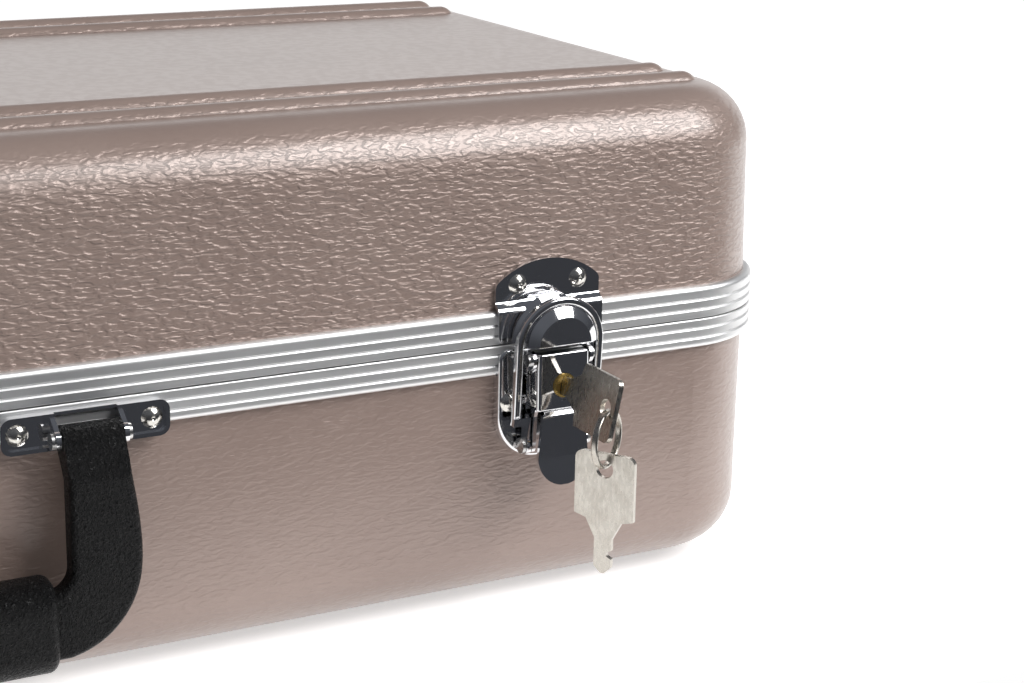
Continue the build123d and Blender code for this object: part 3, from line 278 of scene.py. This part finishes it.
# ---- keys ----------------------------------------------------------------------------------------
# The key, its spare and their ring are stamped and drawn from steel and thinly nickelled, so that
# the rolling marks of the sheet show along the bows.
KEY_STEEL = (0.540, 0.510, 0.460)
KEY_WORN = (0.430, 0.395, 0.350)
MARKS_PER_METRE = 1300.0
WEAR_PER_METRE = 220.0
MARK_DEPTH = 0.00002
keys = material("key_plate", Metallic=1.0)
marks = keys.noise(MARKS_PER_METRE, keys.place(stretch=(1.0, 1.0, 0.3)))
wear = keys.noise(WEAR_PER_METRE, keys.place(), detail=3.0)
keys.set("Base Color", keys.mix(keys.range(wear, 0.4, 0.7) * 0.5, KEY_STEEL, KEY_WORN))
keys.set("Roughness", keys.range(marks, 0.3, 0.7, 0.22, 0.34))
keys.bump(marks * 0.5 + wear * 0.3, MARK_DEPTH)
keys.paint("key", "key_ring", "spare_key")

# ---- handle --------------------------------------------------------------------------------------
# The handle is one moulding of black nylon with a pebbled grain, a little polished where the hand
# rubs it.
NYLON = (0.0025, 0.0025, 0.0028)
NYLON_RUBBED = (0.006, 0.006, 0.0065)
PEBBLES_PER_METRE = 1050.0
GRIP_WEAR_PER_METRE = 45.0
PEBBLE_DEPTH = 0.00045
nylon = material("black_nylon", Specular_IOR_Level=0.22)
pebbles = nylon.noise(PEBBLES_PER_METRE, nylon.place(), detail=2.5, rough=0.65, distortion=0.6)
grip_wear = nylon.range(nylon.noise(GRIP_WEAR_PER_METRE, nylon.place(), detail=3.0), 0.4, 0.7)
nylon.set("Base Color", nylon.mix(grip_wear * nylon.range(pebbles, 0.35, 0.65), NYLON, NYLON_RUBBED))
nylon.set("Roughness", nylon.range(pebbles, 0.35, 0.65, 0.46, 0.26))
nylon.bump(nylon.range(pebbles, 0.32, 0.68), PEBBLE_DEPTH)
nylon.paint("handle")

# ---- feet ----------------------------------------------------------------------------------------
# Four black rubber feet on the back let the case stand on its hinge side.
RUBBER = (0.018, 0.018, 0.018)
RUBBER_DUSTY = (0.060, 0.058, 0.055)
DUST_PER_METRE = 900.0
DUST_DEPTH = 0.00006
rubber = material("black_rubber", Specular_IOR_Level=0.35)
dust = rubber.noise(DUST_PER_METRE, rubber.place(), detail=4.0, rough=0.7)
rubber.set("Base Color", rubber.mix(rubber.range(dust, 0.45, 0.75) * 0.4, RUBBER, RUBBER_DUSTY))
rubber.set("Roughness", rubber.range(dust, 0.3, 0.7, 0.62, 0.8))
rubber.bump(dust, DUST_DEPTH)
rubber.paint("lid_feet", "base_feet")

# ---- lining --------------------------------------------------------------------------------------
# Foam blocks are cut out for the trumpet, the accessories and the mouthpieces, and covered, like the
# pad in the lid, with a short black plush that is pulled over their edges and glued underneath.
PLUSH_LOW = (0.005, 0.005, 0.006)
PLUSH_HIGH = (0.024, 0.024, 0.027)
PLUSH_SHEEN = (0.55, 0.56, 0.60, 1.0)
VOXEL = 0.004
SEAM = 0.000001
PILE_PER_METRE = 2200.0
BRUSHED_PER_METRE = 14.0
PILE_DEPTH = 0.0006
ROUNDING_STEPS = 6
ROUNDING = 0.5
plush = material("black_plush", Sheen_Weight=0.5, Sheen_Roughness=0.5, Sheen_Tint=PLUSH_SHEEN)
pile = plush.noise(PILE_PER_METRE, plush.place(), detail=3.0, rough=0.7)
strokes = plush.noise(BRUSHED_PER_METRE, plush.place(stretch=(1.0, 2.0, 1.0)), detail=3.0)
brushed = plush.range(strokes, 0.4, 0.65)
shade = brushed * 0.5 + plush.range(pile, 0.35, 0.75) * 0.5
plush.set("Base Color", plush.mix(shade, PLUSH_LOW, PLUSH_HIGH))
plush.set("Roughness", plush.range(pile, 0.3, 0.7, 0.85, 1.0))
plush.bump(pile, PILE_DEPTH)


def link(name, mesh):
    piece = bpy.data.objects.new(name, mesh)
    bpy.context.scene.collection.objects.link(piece)
    return piece


def island_of(start):
    """Every vertex that edges join to one vertex."""
    island = {start}
    front = [start]
    while front:
        near = {edge.other_vert(vert) for vert in front for edge in vert.link_edges}
        front = [vert for vert in near if vert not in island]
        island.update(front)
    return island


def keep_outer_island(bm):
    """Drops the closed crumbs that remeshing leaves between glued blocks."""
    outermost = max(bm.verts, key=lambda vert: vert.co.x)
    island = island_of(outermost)
    crumbs = [vert for vert in bm.verts if vert not in island]
    bmesh.ops.delete(bm, geom=crumbs, context="VERTS")


def edit(mesh, work):
    bm = bmesh.new()
    bm.from_mesh(mesh)
    work(bm)
    bm.to_mesh(mesh)
    bm.free()


def join_corners(bm):
    bmesh.ops.remove_doubles(bm, verts=bm.verts, dist=SEAM)


def round_edges(bm):
    keep_outer_island(bm)
    all_ways = {"use_axis_x": True, "use_axis_y": True, "use_axis_z": True}
    for _ in range(ROUNDING_STEPS):
        bmesh.ops.smooth_vert(bm, verts=bm.verts, factor=ROUNDING, **all_ways)
    for face in bm.faces:
        face.smooth = True


def covered(name, node, body):
    """Plush pulled over the foam of a CAD node, with its edges rounded."""
    piece = link(name, nodes[node].data.copy())
    edit(piece.data, join_corners)
    remesh = piece.modifiers.new("cover", "REMESH")
    remesh.mode = "VOXEL"
    remesh.voxel_size = VOXEL
    bpy.context.view_layer.update()
    remeshed = piece.evaluated_get(bpy.context.evaluated_depsgraph_get())
    cover = bpy.data.meshes.new_from_object(remeshed)
    piece.modifiers.clear()
    piece.data = cover
    edit(cover, round_edges)
    cover.materials.clear()
    cover.materials.append(plush.owner)
    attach(piece, body)
    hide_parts(node)


covered("trumpet_lining", "trumpet_insert", "base")
covered("tray_lining", "tray_insert", "base")
covered("lid_lining", "lid_pad", "lid")

# ---- studio --------------------------------------------------------------------------------------
# The case stands on a pale board that ends just in front of it, before a white backdrop. One broad
# softbox hangs at the front right. Metal sees the backdrop behind the case and a dim room elsewhere.
BOARD_HALF = 3.0
BOARD_FRONT = -0.225
BOARD_LIGHT = (0.93, 0.93, 0.93)
BOARD_DARK = (0.90, 0.90, 0.90)
BOARD_GLOW = (0.50, 0.50, 0.50)
BLACK = (0.0, 0.0, 0.0)
MOTTLE_PER_METRE = 3.0
WHITE = (1.0, 1.0, 1.0)
FILL_LIGHT = (0.44, 0.44, 0.44)
ROOM_LOW = (0.045, 0.047, 0.054)
ROOM_HIGH = (0.106, 0.112, 0.128)


def straight_rays(finish):
    """Whether a ray comes from the camera, a glossy surface or a clear one."""
    rays = finish.node("ShaderNodeLightPath", {}, {}).socket.node.outputs
    camera_ray, glossy_ray, through_ray = [
        Wire(finish, rays[name]) for name in ("Is Camera Ray", "Is Glossy Ray", "Is Transmission Ray")]
    return camera_ray, glossy_ray, through_ray


floor = link("floor", bpy.data.meshes.new("floor"))
bm = bmesh.new()
bmesh.ops.create_grid(bm, x_segments=1, y_segments=1, size=BOARD_HALF)
bmesh.ops.translate(bm, vec=(0.0, BOARD_HALF + BOARD_FRONT, 0.0), verts=bm.verts)
bm.to_mesh(floor.data)
bm.free()
board = material("pale_board", Roughness=0.9, Specular_IOR_Level=0.1, Emission_Strength=1.0)
mottle = board.noise(MOTTLE_PER_METRE, board.place())
board.set("Base Color", board.mix(mottle, BOARD_DARK, BOARD_LIGHT))
shown = sum(straight_rays(board)).math("MINIMUM", 1.0)
board.set("Emission Color", board.mix(shown, BLACK, BOARD_GLOW))
floor.data.materials.append(board.owner)

room = Finish(bpy.data.worlds.new("studio"), "Background")
bpy.context.scene.world = room.owner
_, toward_back, upward = room.split(room.node("ShaderNodeTexCoord", {}, {}, "Generated"))
backdrop = room.range(toward_back, 0.20, 0.50) * room.range(upward, 0.28, 0.50, 1.0, 0.0)
walls = room.mix(room.range(upward, -0.25, 0.55), ROOM_LOW, ROOM_HIGH)
camera_ray, glossy_ray, through_ray = straight_rays(room)
seen_dimly = room.mix(glossy_ray, FILL_LIGHT, room.mix(backdrop, walls, WHITE))
room.set("Color", room.mix((camera_ray + through_ray).math("MINIMUM", 1.0), seen_dimly, WHITE))


def softbox(name, centre, aim, width, height, power):
    lamp = bpy.data.lights.new(name, "AREA")
    lamp.shape = "RECTANGLE"
    lamp.size = width
    lamp.size_y = height
    lamp.energy = power
    holder = bpy.data.objects.new(name, lamp)
    bpy.context.scene.collection.objects.link(holder)
    holder.location = centre
    holder.rotation_euler = (Vector(aim) - Vector(centre)).to_track_quat("-Z", "Y").to_euler()


KEY_PLACE = (1.15, -1.20, 1.41)
KEY_AIM = (0.05, -0.10, 0.12)
KEY_WIDTH = 1.1
KEY_HEIGHT = 1.2
KEY_WATTS = 36.0
softbox("key_light", KEY_PLACE, KEY_AIM, KEY_WIDTH, KEY_HEIGHT, KEY_WATTS)

# ---- camera --------------------------------------------------------------------------------------
# The camera stands in front of the case and to its left, a little above its lid.
EYE = (-0.09900, -0.64564, 0.25604)
RIGHT = (0.87962803, -0.47533826, 0.01755175)
UP = (0.10800907, 0.23553768, 0.96584473)
BACKWARD = (-0.46323705, -0.84768835, 0.25852639)
FOCAL_PIXELS = 2133.389
WIDTH_PIXELS = 1024.0
HEIGHT_PIXELS = 683.0
PRINCIPAL = (513.698, 299.914)
SENSOR = 36.0
NEAREST = 0.01
lens = bpy.data.cameras.new("camera")
lens.sensor_width = SENSOR
lens.lens = FOCAL_PIXELS / WIDTH_PIXELS * lens.sensor_width
lens.shift_x = (WIDTH_PIXELS / 2 - PRINCIPAL[0]) / WIDTH_PIXELS
lens.shift_y = (PRINCIPAL[1] - HEIGHT_PIXELS / 2) / WIDTH_PIXELS
lens.clip_start = NEAREST
camera = bpy.data.objects.new("camera", lens)
bpy.context.scene.collection.objects.link(camera)
axes = Matrix((RIGHT, UP, BACKWARD)).transposed()
camera.matrix_world = Matrix.Translation(EYE) @ axes.to_4x4()
bpy.context.scene.camera = camera
bpy.context.scene.view_settings.view_transform = "Standard"
